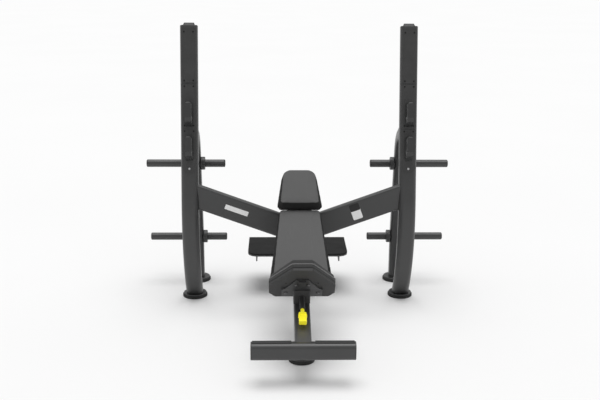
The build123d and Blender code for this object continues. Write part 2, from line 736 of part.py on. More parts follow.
def seat_post():
    """Rectangular post welded square-cut to the bracket, with the latch holes in its front."""
    top = SEAT_FRAME.offset(-BRACKET_THICKNESS)
    with BuildPart() as post:
        with BuildSketch(SLEEVE_FRAME.offset(-POST_DROP)):
            with Locations((0, SLEEVE_DEPTH / 2)):
                ring(POST_WIDTH, POST_DEPTH, 5, TUBE_WALL)
        extrude(amount=POST_DROP + 150)
        split(bisect_by=top, keep=Keep.BOTTOM)
        for step in range(SEAT_HEIGHTS):
            hole = Plane(
                origin=PIN_ORIGIN - SPINE_UP * (step * SEAT_PITCH), x_dir=(1, 0, 0),
                z_dir=SPINE_BACK,
            )
            with BuildSketch(hole):
                Circle(PIN_RADIUS + 0.3)
            extrude(amount=SLEEVE_DEPTH / 2, mode=Mode.SUBTRACT)
    return post.part


def seat_sleeve():
    """Guide sleeve on the spine, its mouth cut parallel to the seat."""
    mouth = SEAT_FRAME.offset(-BRACKET_THICKNESS - 3)
    with BuildPart() as sleeve:
        with BuildSketch(SLEEVE_FRAME):
            with Locations((0, SLEEVE_DEPTH / 2)):
                RectangleRounded(SLEEVE_WIDTH, SLEEVE_DEPTH, 6)
                RectangleRounded(
                    POST_WIDTH + 2 * POST_CLEARANCE, POST_DEPTH + 2 * POST_CLEARANCE, 5.5,
                    mode=Mode.SUBTRACT,
                )
        extrude(amount=150)
        split(bisect_by=mouth, keep=Keep.BOTTOM)
        with BuildSketch(PIN_FRAME):
            Circle(PIN_RADIUS + 0.05)
        extrude(amount=-SLEEVE_DEPTH / 2, mode=Mode.SUBTRACT)
    return sleeve.part


def seat_bolts():
    """Button-head bolts that hold the bracket to the seat board."""
    bolts = []
    for x, station in SEAT_BOLTS:
        plane = SEAT_FRAME.offset(-BRACKET_THICKNESS)
        with BuildPart() as bolt:
            with BuildSketch(plane):
                with Locations((x, station)):
                    Circle(8)
            extrude(amount=-5)
            head = bolt.faces().sort_by(Axis(plane.origin, plane.z_dir))[0]
            fillet(head.edges(), 3)
            with BuildSketch(plane.offset(-5)):
                with Locations((x, station)):
                    RegularPolygon(3.4, 6)
            extrude(amount=2.5, mode=Mode.SUBTRACT)
        bolts.append(bolt.part)
    return Compound(children=bolts)


# ---- pull pin ----------------------------------------------------------------------------
def pin_barrel():
    """Long barrel on the sleeve that carries the pull pin out past the seat's nose."""
    with BuildPart() as barrel:
        with BuildSketch(PIN_FRAME):
            Circle(BARREL_RADIUS)
        extrude(amount=BARREL_LENGTH)
        with BuildSketch(PIN_FRAME):
            Circle(SPRING_BORE)
        extrude(amount=BARREL_WALL[0], mode=Mode.SUBTRACT)
        with BuildSketch(PIN_FRAME):
            Circle(PIN_RADIUS + 0.05)
        extrude(amount=BARREL_LENGTH, mode=Mode.SUBTRACT)
        with BuildSketch(PIN_FRAME.offset(BARREL_WALL[1])):
            Circle(NECK_RADIUS + 0.3)
        extrude(amount=BARREL_LENGTH, mode=Mode.SUBTRACT)
    return barrel.part


def latch_pin():
    """Steel pin with a spring shoulder, drawn back just clear of the post."""
    with BuildPart() as pin:
        with BuildSketch(PIN_FRAME.offset(-PIN_REACH)):
            Circle(PIN_RADIUS)
        extrude(amount=PIN_REACH + NECK_START + PIN_SOCKET)
        with BuildSketch(PIN_FRAME.offset(PIN_TRAVEL + 2)):
            Circle(SPRING_BORE - 0.5)
        extrude(amount=4)
        tip = pin.faces().sort_by(Axis(PIN_FRAME.origin, PIN_FRAME.z_dir))[0]
        chamfer(tip.edges(), 1.2)
    return pin.part


def pin_spring():
    """Compression spring round the pin, drawn as its closed turns."""
    first, last = PIN_TRAVEL + 8, BARREL_WALL[0] - 2
    pitch = (last - first) / (SPRING_TURNS - 1)
    rings = []
    for turn in range(SPRING_TURNS):
        with BuildPart() as coil:
            with BuildSketch(Plane(origin=PIN_ORIGIN, x_dir=-SPINE_BACK, z_dir=(1, 0, 0))):
                with Locations((first + turn * pitch, 8.2)):
                    Circle(0.9)
            revolve(axis=Axis(PIN_ORIGIN, -SPINE_BACK), revolution_arc=360)
        rings.append(coil.part)
    return Compound(children=rings)


def pin_grip():
    """Flat pull grip with a narrow neck and a thin rib round its body."""
    width, depth = GRIP_SIZE
    with BuildPart() as grip:
        with BuildSketch(PIN_FRAME.offset(NECK_START)):
            Circle(NECK_RADIUS)
        extrude(amount=NECK_END - NECK_START)
        with BuildSketch(PIN_FRAME.offset(NECK_END)):
            Circle(NECK_RADIUS)
        with BuildSketch(PIN_FRAME.offset(GRIP_SPAN[0])):
            RectangleRounded(width, depth, 6)
        loft()
        with BuildSketch(PIN_FRAME.offset(GRIP_SPAN[0])):
            RectangleRounded(width, depth, 6)
        extrude(amount=GRIP_SPAN[1] - GRIP_SPAN[0])
        end = grip.faces().sort_by(Axis(PIN_FRAME.origin, PIN_FRAME.z_dir))[-1]
        fillet(end.edges(), 2)
        with BuildSketch(PIN_FRAME.offset(GRIP_RIB)):
            RectangleRounded(width + 5.5, depth + 4, 8)
        extrude(amount=2)
        with BuildSketch(PIN_FRAME.offset(NECK_START)):
            Circle(PIN_RADIUS)
        extrude(amount=PIN_SOCKET, mode=Mode.SUBTRACT)
    return grip.part


# ---- back pads ---------------------------------------------------------------------------
def pad_outline(span, half, corner, inset=0.0):
    """Tapered pad outline, its far corners rounded by their own radius."""
    low, high = span[0] + inset, span[1] - inset
    wide, narrow = half[0] - inset, half[1] - inset
    with BuildSketch() as outline:
        with BuildLine():
            Polyline((-wide, low), (wide, low), (narrow, high), (-narrow, high), close=True)
        make_face()
        fillet(outline.vertices().group_by(Axis.Y)[0], LOWER_PAD_CORNER)
        fillet(outline.vertices().group_by(Axis.Y)[-1], corner)
    return outline.sketch


def pad(span, half, corner, underside, thickness, inset=0.0, edge=0.0):
    """A slab of the given outline over the pad frame."""
    outline = pad_outline(span, half, corner, inset)
    with BuildPart() as slab:
        with BuildSketch(PAD_FRAME.offset(underside)):
            add(outline)
        extrude(amount=thickness)
        if edge > 0:
            top = slab.faces().sort_by(Axis(PAD_FRAME.origin, PAD_FRAME.z_dir))[-1]
            chamfer(top.edges(), edge)
    return slab.part


def back_rail():
    """Rail under the pads with its cross plates, head pad stand-offs and spine bracket."""
    start, end = 120.0, 680.0
    deck = PAD_FRAME.offset(PAD_UNDERSIDE)
    with BuildPart() as rail:
        with BuildSketch(deck):
            with Locations((0, (start + end) / 2)):
                Rectangle(60, end - start)
        extrude(amount=-RAIL_HEIGHT)
        with BuildSketch(deck):
            with Locations((0, 150), (0, 380)):
                RectangleRounded(190, 40, 6)
            with Locations((0, 505), (0, 650)):
                RectangleRounded(130, 36, 6)
        extrude(amount=-6)
        with BuildSketch(deck):
            for x, station in HEAD_BOLTS:
                with Locations((x, station)):
                    Circle(12)
        extrude(amount=HEAD_PAD_FACE - HEAD_PAD_FOAM - BOARD_THICKNESS - PAD_UNDERSIDE)
        with BuildSketch(PAD_FRAME.offset(STRUT_TOP)):
            with Locations((0, 190)):
                Rectangle(50, 90)
        extrude(amount=-120)
        split(bisect_by=SPINE_FRAME, keep=Keep.TOP)
    return rail.part


def pad_bolts():
    """Hex bolts under the cross plates of the back rail."""
    bolts = []
    plane = PAD_FRAME.offset(PAD_UNDERSIDE - 6)
    for x, station in LOWER_BOLTS + HEAD_BOLTS:
        with BuildPart() as bolt:
            with BuildSketch(plane):
                with Locations((x, station)):
                    Circle(9)
            extrude(amount=-1.6)
            with BuildSketch(plane.offset(-1.6)):
                with Locations((x, station)):
                    RegularPolygon(7.5, 6)
            extrude(amount=-5.3)
        bolts.append(bolt.part)
    return Compound(children=bolts)


# ---- spotter's step ----------------------------------------------------------------------
def platform_slab(top, thickness, clearance):
    """One layer of the step, with its front edge notched round the rear strut."""
    depth = DECK_REAR_Y - DECK_FRONT_Y
    with BuildPart() as slab:
        with BuildSketch(Plane.XY.offset(top)) as outline:
            with Locations((0, (DECK_REAR_Y + DECK_FRONT_Y) / 2)):
                Rectangle(2 * DECK_HALF_WIDTH, depth)
            fillet(outline.vertices().group_by(Axis.Y)[0], DECK_FRONT_CORNER)
            fillet(outline.vertices().group_by(Axis.Y)[-1], DECK_REAR_CORNER)
            with Locations((0, DECK_FRONT_Y)):
                Rectangle(SPINE_WIDTH + 2 * clearance, 2 * (DECK_NOTCH + clearance), mode=Mode.SUBTRACT)
        extrude(amount=-thickness)
    return slab.part


def platform_frame():
    """Beam from the strut with two cross bars and the two edge ribs of the step."""
    under = DECK_TOP_Z - MAT_THICKNESS - DECK_THICKNESS
    strut_space = strut_envelope()
    with BuildPart() as frame:
        with BuildSketch(Plane.XY.offset(under)):
            with Locations((0, FEET_Y + 95), (0, FEET_Y + 285)):
                Rectangle(2 * 232, 30)
        extrude(amount=-14)
        with BuildSketch(Plane.XY.offset(under)):
            with Locations((-229.5, FEET_Y + 172), (229.5, FEET_Y + 172)):
                Rectangle(RIB_THICKNESS, 300)
        extrude(amount=-RIB_DEPTH)
        with BuildSketch(Plane.XY.offset(under - 14)):
            with Locations((0, FEET_Y + 165)):
                Rectangle(60, 280)
        extrude(amount=-40)
        add(strut_space, mode=Mode.SUBTRACT)
    return frame.part


# ---- all pieces --------------------------------------------------------------------------
def all_pieces():
    """Every piece of the bench by name."""
    pieces = {}
    for side in SIDES:
        pieces[f"front_upright_{side}"] = front_upright(side)
        pieces[f"rear_leg_{side}"] = rear_leg(side)
        pieces[f"top_cap_{side}"] = top_cap(side)
        pieces[f"arm_{side}"] = arm(side)
        pieces[f"foot_rest_tread_{side}"] = foot_rest_tread(side)
        for level in GUARDS:
            pieces[f"bar_guard_{level}_{side}"] = bar_guard(side, level)
        for level in HOOK_STATIONS:
            pieces[f"bar_hook_{level}_{side}"] = bar_hook(side, level)
        for level in PEG_HEIGHTS:
            pieces[f"storage_peg_{level}_{side}"] = storage_peg(side, level)
    for place in FEET:
        pieces[f"rubber_foot_{place}"] = rubber_foot(place)
    pieces["guard_screws"] = guard_screws()
    pieces["guard_bolts"] = guard_bolts()
    pieces["peg_collars"] = peg_collars()
    pieces["peg_end_caps"] = peg_end_caps()
    pieces["foot_plates"] = foot_plates()
    pieces["spine"] = spine()
    pieces["front_leg"] = front_leg()
    pieces["rear_strut"] = rear_strut()
    pieces["foot_rest_bar"] = foot_rest_bar()
    pieces["foot_rest_caps"] = foot_rest_caps()
    pieces["seat_board"] = seat_board()
    pieces["seat_cushion"] = seat_cushion()
    pieces["seat_bracket"] = seat_bracket()
    pieces["seat_post"] = seat_post()
    pieces["seat_sleeve"] = seat_sleeve()
    pieces["seat_bolts"] = seat_bolts()
    pieces["pin_barrel"] = pin_barrel()
    pieces["latch_pin"] = latch_pin()
    pieces["pin_spring"] = pin_spring()
    pieces["pin_grip"] = pin_grip()
    pieces["back_rail"] = back_rail()
    pieces["pad_bolts"] = pad_bolts()
    lower_pad = (LOWER_PAD_SPAN, LOWER_PAD_HALF, LOWER_PAD_CORNER)
    pieces["lower_pad_board"] = pad(*lower_pad, PAD_UNDERSIDE, BOARD_THICKNESS, inset=7)
    pieces["lower_back_pad"] = pad(*lower_pad, -LOWER_PAD_FOAM, LOWER_PAD_FOAM, edge=9)
    head_pad = (HEAD_PAD_SPAN, HEAD_PAD_HALF, HEAD_PAD_CORNER)
    head_underside = HEAD_PAD_FACE - HEAD_PAD_FOAM
    pieces["head_pad_board"] = pad(
        *head_pad, head_underside - BOARD_THICKNESS, BOARD_THICKNESS, inset=7
    )
    pieces["head_pad"] = pad(*head_pad, head_underside, HEAD_PAD_FOAM, edge=9)
    pieces["platform_mat"] = platform_slab(DECK_TOP_Z, MAT_THICKNESS, 6)
    pieces["platform_deck"] = platform_slab(DECK_TOP_Z - MAT_THICKNESS, DECK_THICKNESS, 3)
    pieces["platform_frame"] = platform_frame()
    return pieces


os.makedirs("parts", exist_ok=True)
for name, piece in all_pieces().items():
    piece.label = name
    export_step(piece, f"parts/{name}.step")
    print(name, len(piece.solids()), round(piece.volume / 1000, 1))
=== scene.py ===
import json
import math

import bmesh
import bpy
from mathutils import Matrix, Vector


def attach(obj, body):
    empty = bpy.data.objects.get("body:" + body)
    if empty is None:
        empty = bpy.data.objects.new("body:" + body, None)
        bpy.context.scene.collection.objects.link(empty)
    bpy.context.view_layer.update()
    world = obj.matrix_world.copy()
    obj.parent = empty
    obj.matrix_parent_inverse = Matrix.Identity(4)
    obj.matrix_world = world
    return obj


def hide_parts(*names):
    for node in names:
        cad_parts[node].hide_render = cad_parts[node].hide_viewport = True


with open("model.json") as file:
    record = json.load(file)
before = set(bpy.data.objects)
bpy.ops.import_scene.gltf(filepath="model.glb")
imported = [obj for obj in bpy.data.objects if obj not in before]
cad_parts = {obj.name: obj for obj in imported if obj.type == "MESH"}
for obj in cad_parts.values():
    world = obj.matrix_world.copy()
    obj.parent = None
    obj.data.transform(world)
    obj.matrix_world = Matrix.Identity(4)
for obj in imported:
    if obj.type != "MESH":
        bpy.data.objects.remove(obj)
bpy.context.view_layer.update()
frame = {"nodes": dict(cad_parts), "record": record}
NODES = frame["nodes"]
SLOT_OF = {row["node"]: row["material_slot"] for row in frame["record"]["subparts"]}

# ---- directions and places shared with the CAD, in metres --------------------------------
SEAT_TILT = math.radians(45.0)
SEAT_ORIGIN = Vector((0, -0.3725, 0.290))
SEAT_FORWARD = Vector((0, -math.cos(SEAT_TILT), math.sin(SEAT_TILT)))
SEAT_NORMAL = Vector((0, math.sin(SEAT_TILT), math.cos(SEAT_TILT)))
INCLINE = math.radians(32.0)
PAD_ORIGIN = Vector((0, -0.3125, 0.345))
PAD_ALONG = Vector((0, math.cos(INCLINE), math.sin(INCLINE)))
PAD_NORMAL = Vector((0, -math.sin(INCLINE), math.cos(INCLINE)))
ACROSS = Vector((1, 0, 0))
ARM_SLOPE = math.radians(19.9)
ARM_Y = 0.2645
ARM_DEPTH = 0.044
ARM_AXIS_Z = 0.4145

# ---- camera and floor --------------------------------------------------------------------
CAMERA_PLACE = (-0.1146, -4.4381, 1.8418)
CAMERA_YAW, CAMERA_PITCH, CAMERA_ROLL = 1.466, 14.919, 0.377  # degrees
FLOOR_HALF = 160.0

# ---- upholstery, in metres unless noted --------------------------------------------------
OUTLINE_STEP = 0.005
LIFT_OFF_BOARD = 0.0005
UNDERSIDE_TUCK = 0.006
FACE_CROWN = 0.0015
FOAM_VOXEL = 0.0045
FOAM_PRESSURE = 3.2  # cloth pressure force
LARGEST_SWELL = 0.0035
CLOTH_FRAMES = 20
# side panel facets take the second film, which on the back pads is a darker vinyl: painted shade
FACE_PANEL_COSINE = 0.72  # facets that lean further than this from the pad's face are side panel
SEAT_LEAN = (0.010, 0.006)
WELT_HEIGHT = 0.032
WELT_RADIUS = 0.0026
WELT_SHARE = 0.4

# ---- plates ------------------------------------------------------------------------------
LABEL_LAP = 0.0006
# blank plates on the arms: side, (x, offset up the face), size, film
PLATES = {
    "blank_name_plate": (-1, (-0.331, 0.003), (0.128, 0.026), "pale_film"),
    "blank_label": (1, (0.305, 0.006), (0.052, 0.086), "pale_film"),
    "blank_label_head": (1, (0.305, 0.030), (0.0525, 0.039), "dark_film"),
}


# ---- camera ------------------------------------------------------------------------------
def make_camera():
    """Camera at about standing eye level, in front of the foot rest and tilted down."""
    yaw, pitch, roll = (math.radians(a) for a in (CAMERA_YAW, CAMERA_PITCH, CAMERA_ROLL))
    forward = Vector(
        (math.sin(yaw) * math.cos(pitch), math.cos(yaw) * math.cos(pitch), -math.sin(pitch))
    )
    right = Vector((math.cos(yaw), -math.sin(yaw), 0))
    up = right.cross(forward)
    right, up = (
        right * math.cos(roll) + up * math.sin(roll),
        up * math.cos(roll) - right * math.sin(roll),
    )
    data = bpy.data.cameras.new("camera")
    data.lens = 55.0
    data.sensor_width = 36.0
    data.clip_end = 400.0
    camera = bpy.data.objects.new("camera", data)
    turn = Matrix((right, up, -forward)).transposed()
    camera.matrix_world = Matrix.Translation(CAMERA_PLACE) @ turn.to_4x4()
    bpy.context.scene.collection.objects.link(camera)
    bpy.context.scene.camera = camera


# ---- materials ---------------------------------------------------------------------------
class Nodes:
    """Small helper that adds nodes to a new material and wires them by socket name."""

    def __init__(self, name):
        self.material = bpy.data.materials.new(name)
        self.material.use_nodes = True
        self.tree = self.material.node_tree
        self.shader = self.tree.nodes["Principled BSDF"]
        self.place = self.add("ShaderNodeTexCoord").outputs["Object"]

    def add(self, kind, **values):
        node = self.tree.nodes.new(kind)
        for key, value in values.items():
            if key in node.inputs:
                node.inputs[key].default_value = value
            else:
                setattr(node, key, value)
        return node

    def link(self, source, target):
        self.tree.links.new(source, target)

    def noise(self, scale, detail=3.0, roughness=0.5, stretch=None):
        node = self.add("ShaderNodeTexNoise", Scale=scale, Detail=detail, Roughness=roughness)
        source = self.place
        if stretch:
            mapping = self.add("ShaderNodeMapping", Scale=stretch)
            self.link(source, mapping.inputs["Vector"])
            source = mapping.outputs["Vector"]
        self.link(source, node.inputs["Vector"])
        return node.outputs["Fac"]

    def cells(self, scale, feature="F1"):
        node = self.add("ShaderNodeTexVoronoi", Scale=scale)
        node.feature = feature
        self.link(self.place, node.inputs["Vector"])
        return node.outputs["Distance"]

    def ramp(self, source, stops):
        node = self.add("ShaderNodeValToRGB")
        ramp = node.color_ramp
        while len(ramp.elements) < len(stops):
            ramp.elements.new(0.5)
        for element, (position, colour) in zip(ramp.elements, stops):
            element.position = position
            element.color = (*colour, 1.0)
        self.link(source, node.inputs["Fac"])
        return node.outputs["Color"]

    def remap(self, source, low, high, start=0.0, end=1.0):
        node = self.add("ShaderNodeMapRange")
        node.inputs["From Min"].default_value = start
        node.inputs["From Max"].default_value = end
        node.inputs["To Min"].default_value = low
        node.inputs["To Max"].default_value = high
        self.link(source, node.inputs["Value"])
        return node.outputs["Result"]

    def sum(self, first, second, share=0.5):
        node = self.add("ShaderNodeMix")
        node.data_type = "FLOAT"
        node.inputs[0].default_value = share
        self.link(first, node.inputs[2])
        self.link(second, node.inputs[3])
        return node.outputs[0]

    def bump(self, height, strength, distance):
        node = self.add("ShaderNodeBump", Strength=strength, Distance=distance)
        self.link(height, node.inputs["Height"])
        self.link(node.outputs["Normal"], self.shader.inputs["Normal"])


def grey(value, tint=0.0):
    """A near-neutral colour, a little cooler or warmer by tint."""
    return (value * (1.0 - tint), value, value * (1.0 + tint))


def powder_coat(name, dark, light, roughness, coat=0.3):
    """Satin powder coat: fine orange peel, faint mottling and slightly uneven gloss."""
    n = Nodes(name)
    mottle = n.noise(9.0, 5.0, 0.6)
    speck = n.noise(900.0, 2.0, 0.5)
    colour = n.ramp(n.sum(mottle, speck, 0.35), [(0.3, dark), (0.7, light)])
    n.link(colour, n.shader.inputs["Base Color"])
    gloss = n.remap(mottle, roughness - 0.05, roughness + 0.07, 0.3, 0.7)
    n.link(gloss, n.shader.inputs["Roughness"])
    n.shader.inputs["Specular IOR Level"].default_value = 0.5
    n.shader.inputs["Coat Weight"].default_value = coat
    n.shader.inputs["Coat Roughness"].default_value = 0.28
    n.bump(n.sum(n.noise(420.0, 2.0, 0.5), speck, 0.3), 0.16, 0.0006)
    return n.material


def moulded(name, dark, light, roughness, grain=1400.0, depth=0.0004):
    """Moulded plastic with a fine spark-eroded grain."""
    n = Nodes(name)
    cloud = n.noise(14.0, 4.0, 0.55)
    fine = n.cells(grain)
    n.link(n.ramp(cloud, [(0.3, dark), (0.72, light)]), n.shader.inputs["Base Color"])
    n.link(n.remap(fine, roughness - 0.04, roughness + 0.08), n.shader.inputs["Roughness"])
    n.shader.inputs["Specular IOR Level"].default_value = 0.42
    n.bump(n.sum(fine, n.noise(grain * 0.4, 2.0), 0.5), 0.22, depth)
    return n.material


def rubber(name, dark, light):
    """Matt rubber with a dusty bloom and a soft pebble."""
    n = Nodes(name)
    bloom = n.noise(22.0, 6.0, 0.65)
    pebble = n.cells(520.0)
    n.link(n.ramp(bloom, [(0.34, dark), (0.74, light)]), n.shader.inputs["Base Color"])
    n.link(n.remap(bloom, 0.62, 0.84, 0.3, 0.7), n.shader.inputs["Roughness"])
    n.shader.inputs["Specular IOR Level"].default_value = 0.35
    n.bump(pebble, 0.35, 0.0008)
    return n.material


def mat_rubber(name):
    """Black step mat: coin-sized flecks pressed flat, and a pebbled wear surface."""
    n = Nodes(name)
    fleck = n.cells(160.0)
    bloom = n.noise(12.0, 5.0, 0.6)
    colour = n.ramp(n.sum(bloom, fleck, 0.4), [(0.25, grey(0.006)), (0.7, grey(0.013))])
    n.link(colour, n.shader.inputs["Base Color"])
    n.link(n.remap(bloom, 0.7, 0.88, 0.3, 0.7), n.shader.inputs["Roughness"])
    n.shader.inputs["Specular IOR Level"].default_value = 0.3
    n.bump(n.sum(fleck, n.noise(900.0, 2.0), 0.4), 0.5, 0.0012)
    return n.material


def bright_metal(name, colour, roughness):
    """Zinc plated steel with turned rings of fine scratches."""
    n = Nodes(name)
    scratch = n.noise(260.0, 6.0, 0.7, stretch=(1.0, 9.0, 9.0))
    stain = n.noise(60.0, 3.0)
    dull = tuple(c * 0.8 for c in colour)
    n.link(n.ramp(stain, [(0.3, dull), (0.65, colour)]), n.shader.inputs["Base Color"])
    n.shader.inputs["Metallic"].default_value = 1.0
    gloss = n.remap(scratch, roughness - 0.08, roughness + 0.12, 0.3, 0.7)
    n.link(gloss, n.shader.inputs["Roughness"])
    n.bump(scratch, 0.12, 0.0003)
    return n.material


def yellow_grip(name):
    """Glossy moulded yellow with faint flow marks and slightly dulled corners."""
    n = Nodes(name)
    flow = n.noise(40.0, 4.0, 0.6, stretch=(1.0, 0.4, 1.0))
    colour = n.ramp(flow, [(0.3, (0.97, 0.84, 0.024)), (0.7, (1.0, 0.91, 0.034))])
    n.link(colour, n.shader.inputs["Base Color"])
    # a little emission, chosen only to keep the yellow bright; the real grip does not glow
    n.shader.inputs["Emission Color"].default_value = (1.0, 0.88, 0.03, 1.0)
    n.shader.inputs["Emission Strength"].default_value = 0.16
    n.link(n.remap(flow, 0.26, 0.42, 0.3, 0.7), n.shader.inputs["Roughness"])
    n.shader.inputs["Specular IOR Level"].default_value = 0.5
    n.shader.inputs["Subsurface Weight"].default_value = 0.04
    n.shader.inputs["Subsurface Radius"].default_value = (0.004, 0.002, 0.0005)
    n.bump(n.noise(900.0, 2.0), 0.1, 0.0003)
    return n.material


def painted_board(name):
    """Plywood painted black: the grain still reads through the paint."""
    n = Nodes(name)
    grain = n.noise(30.0, 6.0, 0.6, stretch=(14.0, 1.2, 1.2))
    n.link(n.ramp(grain, [(0.3, grey(0.020)), (0.75, grey(0.038))]), n.shader.inputs["Base Color"])
    n.link(n.remap(grain, 0.5, 0.68, 0.3, 0.7), n.shader.inputs["Roughness"])
    n.bump(grain, 0.3, 0.0006)
    return n.material


def vinyl(name, dark, light, roughness=0.5, gloss=0.45, sheen=0.12):
    """Upholstery vinyl: small leather-like cells between creases, with a soft sheen."""
    n = Nodes(name)
    cells = n.cells(620.0)
    crease = n.cells(620.0, "DISTANCE_TO_EDGE")
    drift = n.noise(7.0, 4.0, 0.55)
    fine = n.noise(1800.0, 2.0)
    colour = n.ramp(n.sum(drift, cells, 0.25), [(0.22, dark), (0.62, light)])
    n.link(colour, n.shader.inputs["Base Color"])
    uneven = n.remap(n.sum(drift, cells, 0.4), roughness - 0.07, roughness + 0.1)
    n.link(uneven, n.shader.inputs["Roughness"])
    n.shader.inputs["Specular IOR Level"].default_value = gloss
    n.shader.inputs["Sheen Weight"].default_value = sheen
    n.shader.inputs["Sheen Roughness"].default_value = 0.5
    depth = n.remap(crease, 0.0, 1.0, 0.0, 0.18)
    n.bump(n.sum(depth, fine, 0.2), 0.42, 0.0009)
    return n.material


def ribbed_rubber(name):
    """Grip strip rubber with fine ribs along the bar."""
    n = Nodes(name)
    wave = n.add("ShaderNodeTexWave", Scale=95.0, Distortion=0.0)
    wave.bands_direction = "Y"
    n.link(n.place, wave.inputs["Vector"])
    bloom = n.noise(30.0, 5.0, 0.6)
    n.link(n.ramp(bloom, [(0.3, grey(0.024)), (0.72, grey(0.040))]), n.shader.inputs["Base Color"])
    n.link(n.remap(bloom, 0.55, 0.75, 0.3, 0.7), n.shader.inputs["Roughness"])
    n.shader.inputs["Specular IOR Level"].default_value = 0.4
    n.bump(n.sum(wave.outputs["Fac"], n.noise(700.0, 2.0), 0.25), 0.5, 0.0012)
    return n.material


def printed_film(name, colour, dark):
    """Blank printed film: even ink with faint banding under a satin laminate."""
    n = Nodes(name)
    band = n.noise(150.0, 3.0, 0.5, stretch=(1.0, 1.0, 6.0))
    n.link(n.ramp(band, [(0.3, dark), (0.7, colour)]), n.shader.inputs["Base Color"])
    n.link(n.remap(band, 0.38, 0.5, 0.3, 0.7), n.shader.inputs["Roughness"])
    n.bump(n.noise(700.0, 2.0), 0.08, 0.0002)
    return n.material


MATERIALS = {
    "frame_paint": powder_coat("frame_paint", grey(0.030, 0.01), grey(0.041, 0.01), 0.42),
    "hook_paint": powder_coat("hook_paint", grey(0.024, 0.01), grey(0.034, 0.01), 0.46, 0.1),
    "black_plastic": moulded("black_plastic", grey(0.036), grey(0.047), 0.46),
    "black_rubber": rubber("black_rubber", grey(0.018), grey(0.034)),
    "tread_rubber": ribbed_rubber("tread_rubber"),
    "mat_rubber": mat_rubber("mat_rubber"),
    "black_steel": powder_coat("black_steel", grey(0.002), grey(0.004), 0.8, 0.0),
    "barrel_paint": powder_coat("barrel_paint", grey(0.030), grey(0.038), 0.6, 0.1),
    # lighter copy of the frame paint for the spine: painted reflection of the bright studio on its
    # top
    "reflection_lit_spine_paint": powder_coat("reflection_lit_spine_paint", grey(0.050, 0.01), grey(0.064, 0.01), 0.4),
    "bright_steel": bright_metal("bright_steel", (0.62, 0.62, 0.63), 0.28),
    "dull_steel": bright_metal("dull_steel", (0.22, 0.22, 0.22), 0.35),
    "yellow_plastic": yellow_grip("yellow_plastic"),
    "board_wood": painted_board("board_wood"),
    "pad_vinyl": vinyl("pad_vinyl", grey(0.066), grey(0.080)),
    "head_vinyl": vinyl("head_vinyl", grey(0.054), grey(0.066)),
    # darker copy of the pad vinyl for the sides of the back pads: painted shade where they turn
    # away from the light
    "shaded_side_vinyl": vinyl("shaded_side_vinyl", grey(0.020), grey(0.028), 0.7, 0.06, 0.0),
    "seat_vinyl": vinyl("seat_vinyl", grey(0.036), grey(0.048), 0.6, 0.2, 0.04),
    # a much lighter vinyl for the seat welt: a painted highlight along the seam
    "highlight_piping_vinyl": vinyl("highlight_piping_vinyl", grey(0.12), grey(0.15), 0.42),
    "pale_film": printed_film("pale_film", grey(0.93), grey(0.88)),
    "dark_film": printed_film("dark_film", grey(0.004), grey(0.003)),
}


# nodes with a finish of their own instead of their material slot's, by the start of the name
OWN_FINISH = {
    "bar_hook": "hook_paint",
    "pin_barrel": "barrel_paint",
    "seat_sleeve": "barrel_paint",
    # the spine's lighter paint is painted reflection
    "spine": "reflection_lit_spine_paint",
    "seat_bolts": "dull_steel",
    "platform_mat": "mat_rubber",
    "foot_rest_tread": "tread_rubber",
}


def paint_nodes():
    """Gives every CAD node its procedural material and smooth shading on its round faces."""
    for name, obj in NODES.items():
        own = [finish for start, finish in OWN_FINISH.items() if name.startswith(start)]
        material = MATERIALS[own[0] if own else SLOT_OF[name]]
        obj.data.materials.clear()
        obj.data.materials.append(material)
        obj.data.shade_smooth()
        obj.data.set_sharp_from_angle(angle=math.radians(32))


# ---- meshes ------------------------------------------------------------------------------
def new_piece(name, mesh, body, material):
    """Links a mesh as a piece of the bench that rides on a body."""
    obj = bpy.data.objects.new(name, mesh)
    bpy.context.scene.collection.objects.link(obj)
    obj.data.materials.append(MATERIALS[material])
    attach(obj, body)
    return obj


# ---- cushions ----------------------------------------------------------------------------
def rounded_outline(corners, radii, steps=7):
    """Closed outline with an arc of its own radius at each corner, as (u, v) points."""
    points = []
    count = len(corners)
    for i, (corner, radius) in enumerate(zip(corners, radii)):
        here = Vector(corner)
        before = (Vector(corners[i - 1]) - here).normalized()
        after = (Vector(corners[(i + 1) % count]) - here).normalized()
        half = before.angle(after) / 2
        reach = radius / math.tan(half)
        centre = here + (before + after).normalized() * (radius / math.sin(half))
        start = here + before * reach - centre
        end = here + after * reach - centre
        for k in range(steps):
            t = k / (steps - 1)
            spoke = (start * (1 - t) + end * t).normalized() * radius
            points.append(centre + spoke)
    return points


def walk(points, spacing):
    """The same closed outline as evenly spaced points."""
    closed = points + [points[0]]
    lengths = [(closed[i + 1] - closed[i]).length for i in range(len(points))]
    total = sum(lengths)
    count = max(24, round(total / spacing))
    even, i, used = [], 0, 0.0
    for k in range(count):
        want = total * k / count
        while used + lengths[i] < want:
            used += lengths[i]
            i += 1
        even.append(closed[i].lerp(closed[i + 1], (want - used) / lengths[i]))
    return even


def shrink(points, amount):
    """The outline moved inward, by the mean normal at each point."""
    count = len(points)
    moved = []
    for i, point in enumerate(points):
        run = points[(i + 1) % count] - points[i - 1]
        inward = Vector((-run.y, run.x)).normalized()
        moved.append(point + inward * amount)
    return moved


def area_sign(points):
    """Positive if the outline runs counter-clockwise."""
    return sum(a.cross(b) for a, b in zip(points, points[1:] + points[:1]))


def lean_in(outline, share, sides, ends):
    """The outline drawn in: the sides by an amount that varies along them, the ends by another."""
    low = min(p.y for p in outline)
    high = max(p.y for p in outline)
    wide = max(abs(p.x) for p in outline)
    moved = []
    for p in outline:
        t = (p.y - low) / (high - low)
        draw = (sides[0] * (1 - t) + sides[1] * t) * share
        x = p.x * (1 - draw / wide)
        middle = (low + high) / 2
        y = middle + (p.y - middle) * (1 - 2 * ends * share / (high - low))
        moved.append(Vector((x, y)))
    return moved


